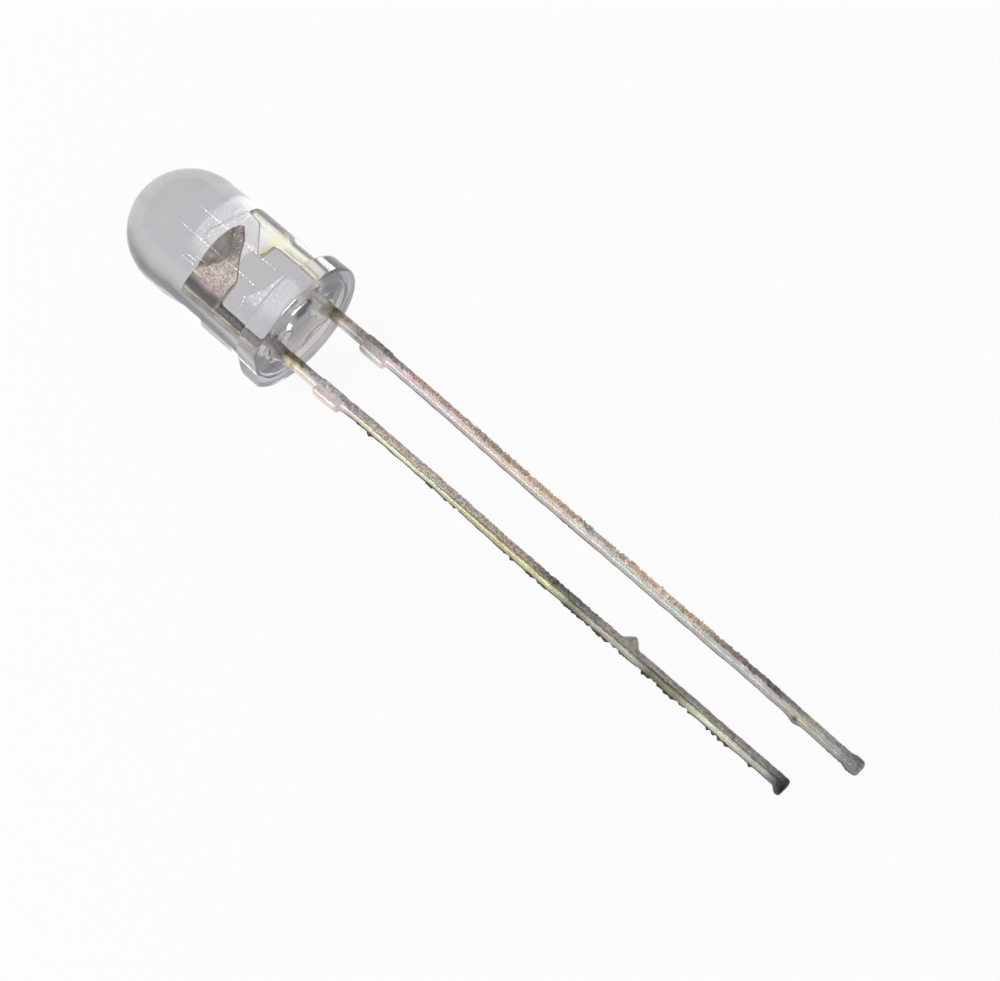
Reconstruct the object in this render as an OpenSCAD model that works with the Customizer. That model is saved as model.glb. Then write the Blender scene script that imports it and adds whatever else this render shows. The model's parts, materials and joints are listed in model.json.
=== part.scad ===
// Round 5 mm through hole LED in clear epoxy, long anode lead and short cathode lead.
// Each piece is drawn upright, with the seating plane at z = 0, the dome up and the anode
// on the +X side, and is then laid down the way the LED rests on a flat surface:
// on the rim of its flange and on the two lead tips. The leads point along +X.
// The origin is at the bottom centre of the box around the lying LED.

/* [Lens] */
// Diameter of the barrel and of the dome
lens_d = 5.0; // [4.8:0.1:5.4]
// Height of the lens from the seating plane to the top of the dome
lens_h = 8.7; // [8.4:0.1:10.4]
// Diameter of the flange
flange_d = 5.8; // [5.6:0.1:6.4]
// Thickness of the flange
flange_t = 1.0; // [0.8:0.1:1.4]
// Round on the flange's upper edge
flange_top_round = 0.2; // [0.1:0.05:0.3]
// Round on the flange's lower edge
flange_low_round = 0.12; // [0.08:0.02:0.18]
// Distance from the axis to the flat that marks the cathode side
flat_x = 2.58; // [2.5:0.02:2.7]
// Width of the flat rim that the underside seats on
rim_w = 0.36; // [0.2:0.01:0.45]
// Width of that rim along the flat
flat_rim_w = 0.16; // [0.08:0.01:0.3]
// Depth of the hollow inside that rim
hollow_depth = 0.12; // [0.05:0.01:0.2]
// Radius of the epoxy that climbs each lead in the hollow
climb_r = 0.1; // [0.05:0.01:0.18]

/* [Leads] */
// Distance between the two leads, centre to centre
lead_pitch = 2.54; // [2.4:0.02:2.7]
// Width of a lead across the pair
lead_w = 0.42; // [0.36:0.02:0.56]
// Thickness of the sheet that the leads are punched from
sheet_t = 0.42; // [0.36:0.02:0.56]
// Length of the anode lead below the seating plane
anode_len = 26.9; // [20:0.1:32]
// Length of the cathode lead below the seating plane
cathode_len = 25.4; // [19:0.1:31]

/* [Tie bar stubs] */
// Distance from the seating plane down to the stub left by the tie bar
stub_drop = 2.1; // [2.05:0.05:4]
// Length of a stub along its lead
stub_len = 1.2; // [0.6:0.1:2]
// How far a stub stands out on the cathode side of its lead
stub_out = 0.2; // [0.08:0.01:0.4]
// How far a stub stands out on the anode side of its lead
stub_in = 0.04; // [0.02:0.01:0.3]

/* [Reflector cup] */
// Height of the cup's rim above the seating plane
cup_rim_z = 4.6; // [4.4:0.05:4.9]
// Distance from the axis to the cup's centre, towards the anode
cup_x = 0.08; // [0:0.01:0.14]
// Outer diameter of the rim
cup_rim_d = 1.58; // [1.5:0.02:1.64]
// Width of the flat land around the rim
cup_land = 0.08; // [0.04:0.01:0.12]
// Depth of the cup
cup_depth = 0.45; // [0.38:0.01:0.5]
// Diameter of the cup's floor
cup_floor_d = 0.62; // [0.6:0.01:0.7]
// How far the outer cone reaches below the rim
cone_h = 0.62; // [0.58:0.01:0.68]
// Diameter of the outer cone where it runs into the sheet
cone_foot_d = 0.5; // [0.4:0.01:0.6]

/* [Cathode anvil] */
// Height at which the lead starts to widen to the anvil
neck_z = 2.72; // [2.5:0.01:2.85]
// Height of the anvil's heel, where the lower edge starts
heel_z = 2.92; // [2.88:0.01:3]
// Distance from the axis to the heel, towards the cathode
heel_x = 0.96; // [0.8:0.01:1]
// Height of the anvil's toe, where the lower edge turns up
toe_z = 2.96; // [2.92:0.01:3.1]
// Distance from the axis to the toe, towards the cathode
toe_x = 0.2; // [0.05:0.01:0.4]
// Height of the knee in the anvil's slanting edge
knee_z = 3.69; // [3.5:0.01:3.8]
// Distance from the axis to the knee, towards the anode
knee_x = 0.43; // [0.3:0.01:0.6]
// Height where the slanting edge turns steeper beside the cup
cheek_z = 3.98; // [3.85:0.01:4.1]
// Distance from the axis to that turn
cheek_x = 0.73; // [0.65:0.01:0.8]
// Height of the anvil's widest point on the anode side
ear_z = 4.42; // [4.2:0.01:4.5]
// Distance from the axis to that point
ear_x = 0.96; // [0.9:0.01:1]

/* [Anode post] */
// Height of the post's top above the seating plane
post_top_z = 4.78; // [4.65:0.01:4.85]
// Width of the post's top
post_top_w = 0.34; // [0.26:0.01:0.36]
// Distance from the axis to the inner edge of the post's top
post_inner_x = 1.32; // [1.28:0.01:1.36]
// Height at which the post starts to taper towards its wing
post_taper_z = 4.1; // [3.8:0.05:4.3]
// Distance from the axis to the post's inner edge there
post_taper_x = 1.26; // [1.2:0.01:1.3]
// Height of the point of the wing that locks the post in the epoxy
wing_z = 3.04; // [3:0.01:3.1]
// Distance from the axis to the wing's point
wing_x = 0.63; // [0.6:0.01:0.7]
// Height of the blunt end of the wing
wing_end_h = 0.09; // [0.04:0.01:0.12]
// Height of the wing's lower edge
wing_low_z = 2.93; // [2.85:0.01:2.98]
// Length of that edge
wing_low_len = 0.26; // [0.15:0.01:0.3]
// Distance from the wing's point to the start of that edge
wing_point_len = 0.15; // [0.08:0.01:0.2]
// Height at which the lead starts to widen to the wing
wing_root_z = 2.7; // [2.4:0.05:2.8]
// How far the post's outer edge steps out above the lead
post_step = 0.18; // [0.05:0.01:0.2]

/* [Die and wire] */
// Side of the square die
die_w = 0.3; // [0.2:0.01:0.34]
// Height of the die
die_h = 0.18; // [0.12:0.01:0.2]
// Thickness of the silver filled glue under the die
attach_t = 0.03; // [0.01:0.01:0.04]
// Diameter of the glue spot
attach_d = 0.52; // [0.5:0.01:0.56]
// Diameter of the gold bond wire
wire_d = 0.03; // [0.02:0.005:0.04]
// Diameter of the ball that joins the wire to the die
ball_d = 0.1; // [0.08:0.01:0.12]
// Height of that ball
ball_h = 0.03; // [0.02:0.01:0.05]
// Diameter of the stitch that joins the wire to the post
stitch_d = 0.1; // [0.08:0.01:0.12]
// Height of that stitch
stitch_h = 0.015; // [0.01:0.005:0.02]
// Radius of the bend at the top of the wire's loop
loop_r = 0.25; // [0.2:0.01:0.3]
// Angle at which the wire comes down on the post
loop_fall = 25; // [20:1:35]

/* [Hidden] */
$fn = 96;

lens_r = lens_d / 2;
flange_r = flange_d / 2;
dome_z = lens_h - lens_r;
lead_x = lead_pitch / 2;
half_w = lead_w / 2;
cutter_over = 1;
rim_gap = 0.01;
half_t = sheet_t / 2;
tip_inner_x = lead_x - half_w;
tip_outer_x = lead_x + half_w;
hollow_r = flange_r - flange_low_round - rim_w;
cup_floor_z = cup_rim_z - cup_depth;
die_z = cup_floor_z + attach_t;
ball_z = die_z + die_h;
post_outer_x = post_inner_x + post_top_w;
wire_end_x = post_inner_x + post_top_w / 2;

// The loop rises from the ball, bends over and comes down straight on the post.
loop_run = wire_end_x - cup_x - loop_r * (1 + sin(loop_fall));
loop_z = post_top_z + loop_run * tan(loop_fall) - loop_r * cos(loop_fall);

// The resting plane touches the flange's lower edge, the inner corner of the anode tip and the
// outer corner of the cathode tip. Its slope along the axis settles after a few rounds.
tip_stagger = (anode_len - cathode_len) / lead_pitch;
flange_edge_r = flange_r - flange_low_round;
function settled(t) = (flange_edge_r * norm([1, t * tip_stagger])
    + flange_low_round * (norm([1, t * tip_stagger, t]) - t)
    - half_t + tip_inner_x * t * tip_stagger) / anode_len;
function settle(t, rounds) = rounds < 1 ? t : settle(settled(t), rounds - 1);
first_slope = 0.1;
settle_rounds = 12;
axis_slope = settle(first_slope, settle_rounds);
roll_slope = axis_slope * tip_stagger;
roll = atan(roll_slope);
pitch_down = atan(axis_slope / norm([1, roll_slope]));

// Box around the lying LED: the dome is at one end and the anode tip at the other.
function across(x, y) = x * cos(roll) + y * sin(roll);
function depth(x, y) = y * cos(roll) - x * sin(roll);
function along(x, y, z) = -z * cos(pitch_down) - depth(x, y) * sin(pitch_down);
function height(x, y, z) = z * sin(pitch_down) - depth(x, y) * cos(pitch_down);
dome_end = along(0, 0, dome_z) - lens_r;
tip_end = along(tip_outer_x, -half_t, -anode_len);
flat_corner_y = sqrt(flange_r * flange_r - flat_x * flat_x);
left_side = across(-flat_x, -flat_corner_y);
drop = height(tip_inner_x, half_t, -anode_len);

module lie() {
    translate([-(dome_end + tip_end) / 2, -(left_side + flange_r) / 2, -drop])
        rotate([0, 0, 90])
            rotate([pitch_down - 90, 0, 0])
                rotate([0, 0, -roll])
                    children();
}

// Half outline of the barrel, dome and flange, turned about the axis
module lens_outline() {
    difference() {
        union() {
            translate([0, dome_z]) circle(lens_r);
            translate([0, flange_t / 2]) square([lens_r, dome_z - flange_t / 2]);
            translate([0, 0]) square([flange_edge_r, flange_t - flange_top_round]);
            translate([0, flange_low_round])
                square([flange_r, flange_t - flange_low_round - flange_top_round]);
            translate([0, flange_t - 2 * flange_top_round])
                square([flange_r - flange_top_round, 2 * flange_top_round]);
            translate([flange_r - flange_top_round, flange_t - flange_top_round])
                circle(flange_top_round);
            translate([flange_edge_r, flange_low_round]) circle(flange_low_round);
        }
        translate([-lens_r, -lens_h]) square([lens_r, 3 * lens_h]);
    }
}

module hollow() {
    intersection() {
        translate([0, 0, -cutter_over]) cylinder(r = hollow_r, h = cutter_over + hollow_depth);
        translate([flat_rim_w - flat_x, -flange_r, -cutter_over])
            cube([flange_d, flange_d, 2 * cutter_over]);
    }
}

// Cove of epoxy that climbs a lead as high as the rim
module climb() {
    foot = norm([half_w, half_t]);
    rise = min(climb_r, hollow_depth - rim_gap);
    rotate_extrude() difference() {
        translate([0, hollow_depth - rise]) square([foot + rise, rise]);
        translate([foot + rise, hollow_depth - rise]) circle(rise);
    }
}

module lens_solid() {
    difference() {
        rotate_extrude() lens_outline();
        translate([-flat_x - flange_d, -flange_d, -cutter_over])
            cube([flange_d, 2 * flange_d, flange_t + 2 * cutter_over]);
        hollow();
    }
    for (side = [-1, 1]) translate([side * lead_x, 0, 0]) climb();
}

// Cuts a flat outline, drawn as seen from the front, out of the sheet
module punched(t = sheet_t) {
    translate([0, t / 2, 0]) rotate([90, 0, 0]) linear_extrude(t) children();
}

module stub(x) {
    translate([x - half_w - stub_out, -half_t, -stub_drop - stub_len])
        cube([stub_out + lead_w + stub_in, sheet_t, stub_len]);
}

module cup_outside() {
    translate([cup_x, 0, cup_rim_z - cone_h])
        cylinder(d1 = cone_foot_d, d2 = cup_rim_d, h = cone_h);
}

module cup_inside() {
    rim_inner = cup_rim_d - 2 * cup_land;
    translate([cup_x, 0, cup_floor_z])
        cylinder(d1 = cup_floor_d, d2 = rim_inner, h = cup_depth);
}

module cathode_shape() {
    difference() {
        union() {
            punched() polygon([
                [-tip_outer_x, -cathode_len], [-tip_inner_x, -cathode_len], [-tip_inner_x, neck_z],
                [-heel_x, heel_z], [-toe_x, toe_z], [knee_x, knee_z], [cheek_x, cheek_z],
                [ear_x, ear_z], [cup_x + cup_rim_d / 2, cup_rim_z], [-tip_outer_x, cup_rim_z]
            ]);
            cup_outside();
            stub(-lead_x);
        }
        cup_inside();
    }
}

module anode_shape() {
    wing_low_x = wing_x + wing_point_len;
    punched() polygon([
        [tip_inner_x, -anode_len], [tip_outer_x, -anode_len], [tip_outer_x, wing_root_z],
        [tip_outer_x + post_step, wing_z], [post_outer_x, post_top_z], [post_inner_x, post_top_z],
        [post_taper_x, post_taper_z], [wing_x, wing_z + wing_end_h], [wing_x, wing_z],
        [wing_low_x, wing_low_z], [wing_low_x + wing_low_len, wing_low_z],
        [tip_inner_x, wing_root_z]
    ]);
    stub(lead_x);
}

module die_shape() {
    translate([cup_x - die_w / 2, -die_w / 2, die_z]) cube([die_w, die_w, die_h]);
}

module attach_shape() {
    translate([cup_x, 0, cup_floor_z]) cylinder(d = attach_d, h = attach_t);
}

module wire_shape() {
    translate([cup_x, 0, ball_z]) cylinder(d = ball_d, h = ball_h);
    translate([cup_x, 0, ball_z + ball_h / 2]) cylinder(d = wire_d, h = loop_z - ball_z - ball_h / 2);
    difference() {
        translate([cup_x + loop_r, 0, loop_z]) rotate([90, 0, 0]) rotate([0, 0, 90 - loop_fall]) {
            rotate_extrude(angle = 90 + loop_fall) translate([loop_r, 0]) circle(d = wire_d);
            translate([loop_r, 0, 0]) rotate([90, 0, 0])
                cylinder(d = wire_d, h = loop_run / cos(loop_fall));
        }
        translate([post_inner_x, -wire_d, post_top_z - cutter_over])
            cube([2 * post_top_w, 2 * wire_d, cutter_over]);
    }
    translate([wire_end_x, 0, post_top_z]) cylinder(d = stitch_d, h = stitch_h);
}

module lens_body() {
    color([0.80, 0.80, 0.83, 0.5]) lie() difference() {
        lens_solid();
        cathode_shape();
        anode_shape();
        die_shape();
        attach_shape();
        wire_shape();
    }
}

module cathode_lead() {
    color([0.72, 0.71, 0.69]) lie() cathode_shape();
}

module anode_lead() {
    color([0.76, 0.75, 0.72]) lie() anode_shape();
}

module led_die() {
    color([0.36, 0.34, 0.38]) lie() die_shape();
}

module die_attach() {
    color([0.62, 0.62, 0.64]) lie() attach_shape();
}

module bond_wire() {
    color([0.86, 0.68, 0.28]) lie() wire_shape();
}

lens_body();
cathode_lead();
anode_lead();
led_die();
die_attach();
bond_wire();
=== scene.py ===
"""Round through hole LED in clear epoxy, lying on its flange and its two lead tips."""
import json
import math

import bmesh
import bpy
from mathutils import Matrix, Vector


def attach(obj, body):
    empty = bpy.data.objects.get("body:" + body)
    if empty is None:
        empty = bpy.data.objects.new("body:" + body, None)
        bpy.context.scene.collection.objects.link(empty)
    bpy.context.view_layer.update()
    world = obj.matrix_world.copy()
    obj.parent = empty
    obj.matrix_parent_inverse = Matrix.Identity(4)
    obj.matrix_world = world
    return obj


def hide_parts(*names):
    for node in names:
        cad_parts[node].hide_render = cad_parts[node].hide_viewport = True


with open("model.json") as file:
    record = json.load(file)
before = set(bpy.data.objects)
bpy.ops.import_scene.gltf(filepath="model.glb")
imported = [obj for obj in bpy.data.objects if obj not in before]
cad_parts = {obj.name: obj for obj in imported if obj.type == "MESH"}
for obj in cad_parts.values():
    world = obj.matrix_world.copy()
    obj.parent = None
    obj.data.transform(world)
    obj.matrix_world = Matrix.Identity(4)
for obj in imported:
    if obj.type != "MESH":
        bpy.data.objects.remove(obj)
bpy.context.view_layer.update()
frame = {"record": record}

# ---------------------------------------------------------------------------------------------
# Cathode lead
# Punched from steel sheet and silver plated, with the reflector cup coined into its wide anvil.
# Below the lens it was dipped in tin, which rounds its edges and leaves grains, dross along the
# lower edge and a hooked drop at the cut end.
#
# Every piece is modelled upright in millimetres, the seating plane at z = 0, the dome up and the
# anode on the +X side, and is then laid down. The frame's mounts say where the LED lies.
# ---------------------------------------------------------------------------------------------
MM = 0.001
FLANGE_T = 1.0
LEAD_X = 1.27
LEAD_W = 0.42
SHEET_T = 0.42
LEAD_IN = LEAD_X - LEAD_W / 2
LEAD_OUT = LEAD_X + LEAD_W / 2
STUB_TOP = -2.1
STUB_LOW = -3.3
STUB_OUT = 0.2
STUB_IN = 0.04
RIM_Z = 4.6
CUP_X = 0.08
CUP_RIM_R = 0.79
CUP_LAND = 0.08
CUP_DEPTH = 0.45
CUP_FLOOR_R = 0.31
CONE_H = 0.62
CONE_FOOT_R = 0.25
NECK_Z = 2.72
ANVIL_EDGE = ((2.92, -0.96), (2.96, -0.2), (3.69, 0.43), (3.98, 0.73), (4.42, 0.96))
VOXEL = 0.033
CATHODE_SPLIT = -1.29

mounts = {mount["name"]: mount for mount in frame["record"]["mounts"]}
dome_way = Vector(mounts["barrel"]["axis"]).normalized()
lead_gap = Vector(mounts["anode_end"]["pos_m"]) - Vector(mounts["cathode_end"]["pos_m"])
anode_way = (lead_gap - lead_gap.dot(dome_way) * dome_way).normalized()
BARREL_LEN = mounts["barrel"]["dims"]["length_mm"]
seat = Vector(mounts["barrel"]["pos_m"]) - dome_way * (FLANGE_T + BARREL_LEN / 2) * MM
turned = Matrix((anode_way, dome_way.cross(anode_way), dome_way)).transposed().to_4x4()
LIE_DOWN = Matrix.Translation(seat) @ turned @ Matrix.Scale(MM, 4)


def below_seat(mount):
    """Millimetres from the seating plane down to a lead's end."""
    return (seat - Vector(mounts[mount]["pos_m"])).dot(dome_way) / MM


def new_piece(name, add, **sizes):
    """Adds one primitive on its own, with nothing else selected, and names it."""
    bpy.ops.object.select_all(action="DESELECT")
    add(**sizes)
    piece = bpy.context.object
    piece.name = name
    bpy.ops.object.transform_apply()
    return piece


def edit(piece, select="DESELECT"):
    """Opens a piece for editing with all or none of its points selected."""
    bpy.ops.object.select_all(action="DESELECT")
    piece.select_set(True)
    bpy.context.view_layer.objects.active = piece
    bpy.ops.object.mode_set(mode="EDIT")
    bpy.ops.mesh.select_mode(type="VERT")
    bpy.ops.mesh.select_all(action=select)


def pick(piece, wanted):
    """Selects the points whose place is wanted."""
    bpy.ops.mesh.select_all(action="DESELECT")
    shape = bmesh.from_edit_mesh(piece.data)
    for point in shape.verts:
        point.select = bool(wanted(point.co))
    shape.select_flush(True)
    bmesh.update_edit_mesh(piece.data)


def close_shape():
    """Turns every face outwards and leaves edit mode."""
    bpy.ops.mesh.select_all(action="SELECT")
    bpy.ops.mesh.remove_doubles(threshold=0.0005)
    bpy.ops.mesh.normals_make_consistent(inside=False)
    bpy.ops.object.mode_set(mode="OBJECT")


def apply(piece, kind, **settings):
    """Adds one modifier, sets it and applies it."""
    modifier = piece.modifiers.new(kind.lower(), kind)
    for setting, value in settings.items():
        setattr(modifier, setting, value)
    bpy.context.view_layer.objects.active = piece
    bpy.ops.object.modifier_apply(modifier=modifier.name)


def combine(piece, other, operation):
    """Joins another shape to a piece or cuts it out, and drops the other shape."""
    apply(piece, "BOOLEAN", operation=operation, object=other, solver="EXACT")
    bpy.data.objects.remove(other)


def punched_strip(name, rows):
    """Sheet strip: a plane for the lowest length, its top edge extruded row by row, thickened."""
    (low, left, right), (high, _, _) = rows[:2]
    width, middle = right - left, (left + right) / 2
    piece = new_piece(name, bpy.ops.mesh.primitive_plane_add, size=1, rotation=(math.pi / 2, 0, 0),
                      location=(middle, SHEET_T / 2, (low + high) / 2))
    edit(piece, "SELECT")
    bpy.ops.transform.resize(value=(width, 1, high - low), center_override=(middle, 0, (low + high) / 2))
    pick(piece, lambda place: place.z > (low + high) / 2)
    for next_high, left, right in rows[2:]:
        bpy.ops.mesh.extrude_region_move(TRANSFORM_OT_translate={"value": (0, 0, next_high - high)})
        bpy.ops.transform.resize(value=((right - left) / width, 1, 1), center_override=(middle, 0, 0))
        bpy.ops.transform.translate(value=((left + right) / 2 - middle, 0, 0))
        high, width, middle = next_high, right - left, (left + right) / 2
    bpy.ops.mesh.select_all(action="SELECT")
    bpy.ops.mesh.extrude_region_move(TRANSFORM_OT_translate={"value": (0, -SHEET_T, 0)})
    close_shape()
    return piece


def block(name, left, right, low, high):
    """A block as thick as the sheet, for the stub that the tie bar left."""
    piece = new_piece(name, bpy.ops.mesh.primitive_cube_add, size=1,
                      location=((left + right) / 2, 0, (low + high) / 2))
    edit(piece, "SELECT")
    bpy.ops.transform.resize(value=(right - left, SHEET_T, high - low),
                             center_override=((left + right) / 2, 0, (low + high) / 2))
    close_shape()
    return piece


def step(value, start, end):
    """0 before start, 1 after end and a smooth rise between."""
    part = min(max((value - start) / (end - start), 0.0), 1.0)
    return part * part * (3 - 2 * part)


def spot(place, centre, reach):
    """1 at a centre, falling smoothly to 0 at its reach."""
    return step((Vector(place) - Vector(centre)).length, reach, 0.0)


def push(piece, way, amount, weight, texture=None):
    """Moves the points along an axis or their normals, weighed by a function of their place."""
    group = piece.vertex_groups.new(name="pushed")
    for point in piece.data.vertices:
        part = weight(point.co)
        if part > 0.01:
            group.add([point.index], part, "REPLACE")
    apply(piece, "DISPLACE", direction=way, strength=amount, mid_level=0.5 if texture else 0.0,
          vertex_group=group.name, **({"texture": texture} if texture else {}))
    piece.vertex_groups.clear()


def relief(name, size, depth=2):
    """A cloudy relief for pushing points, its size in millimetres."""
    texture = bpy.data.textures.new(name, "CLOUDS")
    texture.noise_scale = size
    texture.noise_depth = depth
    return texture


TIN_GRAIN = relief("tin_grain", 0.07)
TIN_DROSS = relief("tin_dross", 0.2, 3)
TIN_LUMPS = relief("tin_lumps", 0.6, 1)
TIN_EDGE = relief("tin_edge", 0.09, 1)


def dip_in_tin(piece, split):
    """Rounds the strip a little and its dipped length a lot, and grains the tin above the split."""
    apply(piece, "REMESH", mode="VOXEL", voxel_size=VOXEL)
    apply(piece, "SMOOTH", factor=0.5, iterations=4)
    dipped = piece.vertex_groups.new(name="dipped")
    for point in piece.data.vertices:
        rolled = 0.8 * step(point.co.x, -1.2, -1.3) * step(point.co.z, -1.0, 0.5)
        dipped.add([point.index], step(point.co.z, 0.0, -0.6) + rolled, "REPLACE")
    apply(piece, "SMOOTH", factor=0.5, iterations=26, vertex_group="dipped")
    piece.vertex_groups.clear()
    push(piece, "NORMAL", 0.032, lambda place: step(place.z, -0.1, -0.7))
    push(piece, "NORMAL", 0.04, lambda place: step(place.z, -1.4, -2.4)
         * (0.08 + 0.92 * step(place.x, split - 0.02, split + 0.06)), TIN_GRAIN)
    push(piece, "NORMAL", 0.05, lambda place: step(place.z, -1.4, -2.4), TIN_LUMPS)


def keep_place(mesh):
    """Keeps each point's upright place in millimetres, which the materials read."""
    upright = mesh.attributes.new("upright_mm", "FLOAT_VECTOR", "POINT")
    upright.data.foreach_set("vector", [axis for point in mesh.vertices for axis in point.co])


def lay_down(piece, node, material, smooth_angle=40):
    """Lays a finished piece down, gives it its material and hands it over."""
    mesh = piece.data
    if "upright_mm" not in mesh.attributes:
        keep_place(mesh)
    mesh.transform(LIE_DOWN)
    mesh.materials.clear()
    mesh.materials.append(material)
    bpy.ops.object.select_all(action="DESELECT")
    piece.select_set(True)
    bpy.context.view_layer.objects.active = piece
    bpy.ops.object.shade_smooth_by_angle(angle=math.radians(smooth_angle))
    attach(piece, "root")
    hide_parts(node)


class Value:
    """A number or a colour that varies over a surface. Each operator adds its Math node."""

    def __init__(self, surface, socket):
        self.surface = surface
        self.socket = socket

    def math(self, operation, first, second, clamp=False):
        return self.surface.node("Math", {"operation": operation, "use_clamp": clamp},
                                 {0: first, 1: second})

    def __add__(self, other):
        return self.math("ADD", self, other)

    def __sub__(self, other):
        return self.math("SUBTRACT", self, other)

    def __rsub__(self, other):
        return self.math("SUBTRACT", other, self)

    def __mul__(self, other):
        return self.math("MULTIPLY", self, other)

    def __pow__(self, other):
        return self.math("POWER", self, other)

    __radd__ = __add__
    __rmul__ = __mul__

    def rise(self, start, end):
        """0 before start, 1 after end and a smooth rise between."""
        return self.surface.node("MapRange", {"interpolation_type": "SMOOTHSTEP"},
                                 {"Value": self, "From Min": start, "From Max": end})

    def within(self, start, end, soft):
        """1 between start and end, with soft borders."""
        return self.rise(start - soft, start) * self.rise(end + soft, end)


class Surface:
    """The nodes of a material or of the sky. Every node is added by node()."""

    def __init__(self, owner):
        owner.use_nodes = True
        self.tree = owner.node_tree
        self.tree.nodes.clear()

    def node(self, kind, settings=None, sockets=None, output=0):
        added = self.tree.nodes.new("ShaderNode" + kind)
        for setting, value in (settings or {}).items():
            if setting == "stops":
                ramp = added.color_ramp.elements
                for index, (place, colour) in enumerate(value):
                    element = ramp[index] if index < 2 else ramp.new(1.0)
                    element.position = place
                    element.color = colour + (1,)
            else:
                setattr(added, setting, value)
        for name, value in (sockets or {}).items():
            if isinstance(value, Value):
                self.tree.links.new(value.socket, added.inputs[name])
            else:
                added.inputs[name].default_value = value
        return Value(self, added.outputs[output]) if added.outputs else None

    def place(self):
        """The upright place of a point in millimetres: the vector and its three numbers."""
        vector = self.node("Attribute", {"attribute_name": "upright_mm"}, output=1)
        return (vector,) + tuple(
            self.node("SeparateXYZ", None, {"Vector": vector}, output=axis) for axis in range(3))

    def grey(self, value):
        """The same number in red, green and blue, past 1 as well."""
        return self.node("CombineColor", None, {0: value, 1: value, 2: value})

    def noise(self, vector, scale, detail=2.0):
        return self.node("TexNoise", None, {"Vector": vector, "Scale": scale, "Detail": detail})

    def stretched(self, vector, factors):
        return self.node("VectorMath", {"operation": "MULTIPLY"}, {0: vector, 1: factors})

    def mix(self, factor, a, b, blend="MIX"):
        """Mixes two colours."""
        a, b = (value if isinstance(value, Value) else tuple(value) + (1,) for value in (a, b))
        return self.node("Mix", {"data_type": "RGBA", "blend_type": blend},
                         {0: factor, 6: a, 7: b}, output=2)

    def ramp(self, value, start, end, stops):
        """A colour that changes with a value; the stops are in the value's own unit."""
        part = self.node("MapRange", None, {"Value": value, "From Min": start, "From Max": end})
        placed = [((place - start) / (end - start), colour) for place, colour in stops]
        return self.node("ValToRGB", {"stops": placed}, {0: part})

    def bump(self, height, strength, distance):
        return self.node("Bump", None, {"Height": height, "Strength": strength, "Distance": distance})


PINK, YELLOW, BLUE = (1.0, 0.86, 0.88), (1.0, 0.97, 0.80), (0.88, 0.97, 1.0)
GLINT_ORANGE = (1.0, 0.62, 0.34)


def tin_coat(surface, vector, x, y, z, split, side_shade, grain_end, upper, lower, glints):
    """Crystals of tin: a dark side above the split and a pale side below, coloured along z, with painted glints on the
    dark side, a painted highlight along the split and painted shade on the pale side's outer edge and back.
    """
    low, high = upper[0][0], upper[-1][0]
    cells = surface.node("TexVoronoi", None, {"Vector": vector, "Scale": 22.0}, output=1)
    grain, hue, lie = (surface.node("SeparateColor", None, {0: cells}, output=i) for i in range(3))
    cloud = surface.noise(vector, 6.0)
    edge = x + cloud * 0.12 - 0.06
    above = edge.rise(split - 0.03, split + 0.05)
    colour = surface.mix(above, surface.ramp(z, low, high, lower), surface.ramp(z, low, high, upper))
    rough_tin = (z.rise(-0.7, -1.6) * 0.75 + 0.25) * (above * 0.8 + 0.2) * (1 - z.rise(grain_end, grain_end - 2.5) * 0.75)
    light = (grain * 0.8 - 0.4) * rough_tin + 1.0
    light = light * (1.2 - cloud.rise(0.35, 0.75) * (0.15 + above * 0.35))
    # painted highlight along the split on the pale side, fading to painted shade at its outer edge, then painted shade
    # on the back of the pale side, as strong as side_shade
    light = light * (1.08 - edge.rise(split - 0.04, split - 0.14) * (1 - above) * 0.3 * z.rise(-3.0, -4.0))
    light = light * (1 - y.rise(-0.2, 0.04) * (1 - above) * z.rise(-3.0, -4.0) * side_shade)
    colour = surface.mix(1.0, colour, surface.grey(light), "MULTIPLY")
    sheen = surface.noise(surface.stretched(vector, (2.5, 2.5, 0.7)), 1.6).rise(0.3, 0.7)
    shift = sheen * (1 - above) + hue * above
    tint = surface.mix(shift.rise(0.3, 0.6), PINK, YELLOW)
    tint = surface.mix(shift.rise(0.65, 0.85), tint, BLUE)
    colour = surface.mix(0.8, colour, tint, "MULTIPLY")
    # painted glints: white and orange highlights on the dark side, strongest at the heights in glints, and larger
    # patches of orange glint
    glint_amount = surface.node("RGBToBW", None, {0: surface.ramp(z, low, high, glints)})
    glint = surface.mix(hue.rise(0.45, 0.55), (1.0, 0.92, 0.88), GLINT_ORANGE)
    colour = surface.mix((grain + glint_amount * 0.25).rise(0.6, 0.85) * above * glint_amount, colour, glint)
    glint_patch = surface.noise(vector, 7.0, 1.0).rise(0.55, 0.64) * above * glint_amount
    colour = surface.mix(glint_patch * 0.6, colour, GLINT_ORANGE)
    return colour, (grain * 0.5 + lie * 0.5) * (above * 0.85 + 0.15), above, edge


def tinned(name, paint):
    """Tinned outside, silver plated inside the epoxy. paint() gives the lead's colours, with its painted highlights and
    shade.
    """
    material = bpy.data.materials.new(name)
    surface = Surface(material)
    vector, x, y, z = surface.place()
    colour, rough, height = paint(surface, vector, x, y, z)
    surface.node("OutputMaterial", None, {"Surface": surface.node("BsdfPrincipled", None, {
        "Base Color": colour, "Roughness": rough, "Metallic": 0.7,
        "Normal": surface.bump(height, 0.6, 0.02 * MM)})})
    return material


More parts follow.
